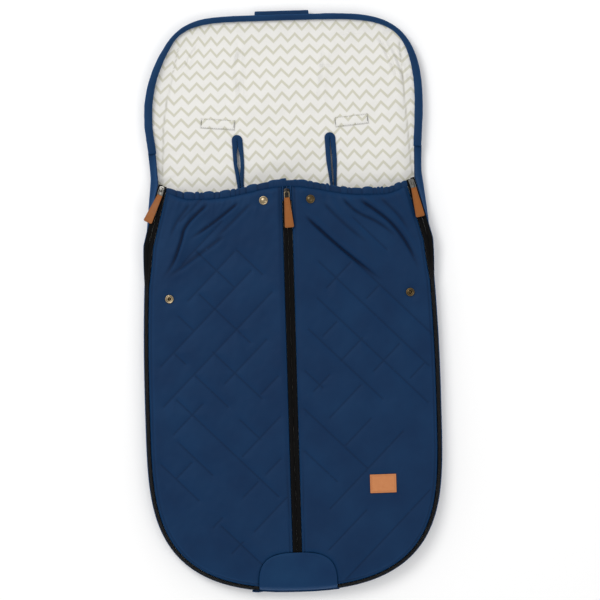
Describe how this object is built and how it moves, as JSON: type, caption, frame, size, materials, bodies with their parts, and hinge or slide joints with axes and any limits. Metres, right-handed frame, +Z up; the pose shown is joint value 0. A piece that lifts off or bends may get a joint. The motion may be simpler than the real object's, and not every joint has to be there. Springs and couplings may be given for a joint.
{
  "type": "stroller footmuff",
  "caption": "Quilted navy stroller footmuff with zigzag lining, centre and side zips, fold-back lapels, harness slits and tan leather zip pulls.",
  "frame": {"origin": "middle of the footprint, on the floor that the back lies on", "axes": "+Y towards the head end, +X to the right seen from above, +Z up out of the cover"},
  "size_m": [0.508, 1.001, 0.0612],
  "materials": {
    "navy_cloth": "matte woven polyester",
    "printed_lining": "soft cotton with a pale zigzag print",
    "wadding": "polyester wadding",
    "zip": "black woven tape with a nylon coil",
    "leather": "smooth tan leather",
    "nickel": "polished nickel plate",
    "brass": "antique brass",
    "elastic": "woven elastic"
  },
  "bodies": {
    "root": {"back_shell": "navy_cloth", "back_wadding": "wadding", "back_lining": "printed_lining", "hood_binding": "navy_cloth", "head_tab": "navy_cloth", "foot_end_tab": "navy_cloth", "harness_slit_binding_left": "navy_cloth", "harness_slit_binding_right": "navy_cloth", "belt_guide_left": "printed_lining", "belt_guide_right": "printed_lining", "side_gusset_left": "navy_cloth", "side_gusset_right": "navy_cloth", "back_zip_half_left": "zip", "back_zip_half_right": "zip"},
    "cover": {"cover_shell_left": "navy_cloth", "cover_shell_right": "navy_cloth", "cover_wadding_left": "wadding", "cover_wadding_right": "wadding", "cover_lining_left": "printed_lining", "cover_lining_right": "printed_lining", "cover_zip_half_left": "zip", "cover_zip_half_right": "zip", "centre_zip_half_left": "zip", "centre_zip_half_right": "zip", "snap_socket_left": "brass", "snap_socket_right": "brass", "snap_washer_lower_left": "brass", "snap_washer_lower_right": "brass", "foot_patch": "navy_cloth", "leather_label": "leather"},
    "lapel_left": {"lapel_shell_left": "navy_cloth", "lapel_wadding_left": "wadding", "lapel_lining_left": "printed_lining", "hem_casing_left": "navy_cloth", "hem_elastic_left": "elastic", "lapel_zip_half_left": "zip", "snap_cap_left": "brass", "snap_washer_upper_left": "brass"},
    "lapel_right": {"lapel_shell_right": "navy_cloth", "lapel_wadding_right": "wadding", "lapel_lining_right": "printed_lining", "hem_casing_right": "navy_cloth", "hem_elastic_right": "elastic", "lapel_zip_half_right": "zip", "snap_cap_right": "brass", "snap_washer_upper_right": "brass"},
    "slider_centre": {"slider_centre": "nickel"},
    "pull_centre": {"pull_link_centre": "nickel", "pull_tab_centre": "leather"},
    "slider_left": {"slider_left": "nickel"},
    "pull_left": {"pull_link_left": "nickel", "pull_tab_left": "leather"},
    "slider_right": {"slider_right": "nickel"},
    "pull_right": {"pull_link_right": "nickel", "pull_tab_right": "leather"}
  },
  "joints": [
    {"name": "cover_fold", "type": "hinge", "parent": "root", "child": "cover", "pos_m": [0, -0.4985, 0.0217], "axis": [1, 0, 0], "range_deg": [0, 170], "deforming": ["pull_tab_left", "pull_tab_right"]},
    {"name": "lapel_fold_left", "type": "hinge", "parent": "cover", "child": "lapel_left", "pos_m": [-0.10918, 0.07722, 0.04747], "axis": [0.7001, -0.7108, 0.0687], "range_deg": [0, 174], "deforming": ["pull_tab_centre"]},
    {"name": "lapel_fold_right", "type": "hinge", "parent": "cover", "child": "lapel_right", "pos_m": [0.10918, 0.07722, 0.04747], "axis": [0.7001, 0.7108, -0.0687], "range_deg": [0, 174], "deforming": ["pull_tab_centre"]},
    {"name": "slider_run_centre", "type": "slide", "parent": "cover", "child": "slider_centre", "axis": [0, -0.9998, -0.0177], "range_m": [0, 0.58]},
    {"name": "slider_run_left", "type": "slide", "parent": "root", "child": "slider_left", "axis": [-0.2577, -0.9662, 0], "range_m": [0, 0.085]},
    {"name": "slider_run_right", "type": "slide", "parent": "root", "child": "slider_right", "axis": [0.2577, -0.9662, 0], "range_m": [0, 0.085]},
    {"name": "pull_swing_centre", "type": "hinge", "parent": "slider_centre", "child": "pull_centre", "pos_m": [0, 0.18593, 0.05906], "axis": [-1, 0, 0], "range_deg": [0, 170]},
    {"name": "pull_swing_left", "type": "hinge", "parent": "slider_left", "child": "pull_left", "pos_m": [-0.21476, 0.19738, 0.03499], "axis": [-0.9516, 0.2538, -0.1736], "range_deg": [0, 170]},
    {"name": "pull_swing_right", "type": "hinge", "parent": "slider_right", "child": "pull_right", "pos_m": [0.21476, 0.19738, 0.03499], "axis": [-0.9516, -0.2538, 0.1736], "range_deg": [0, 170]}
  ]
}
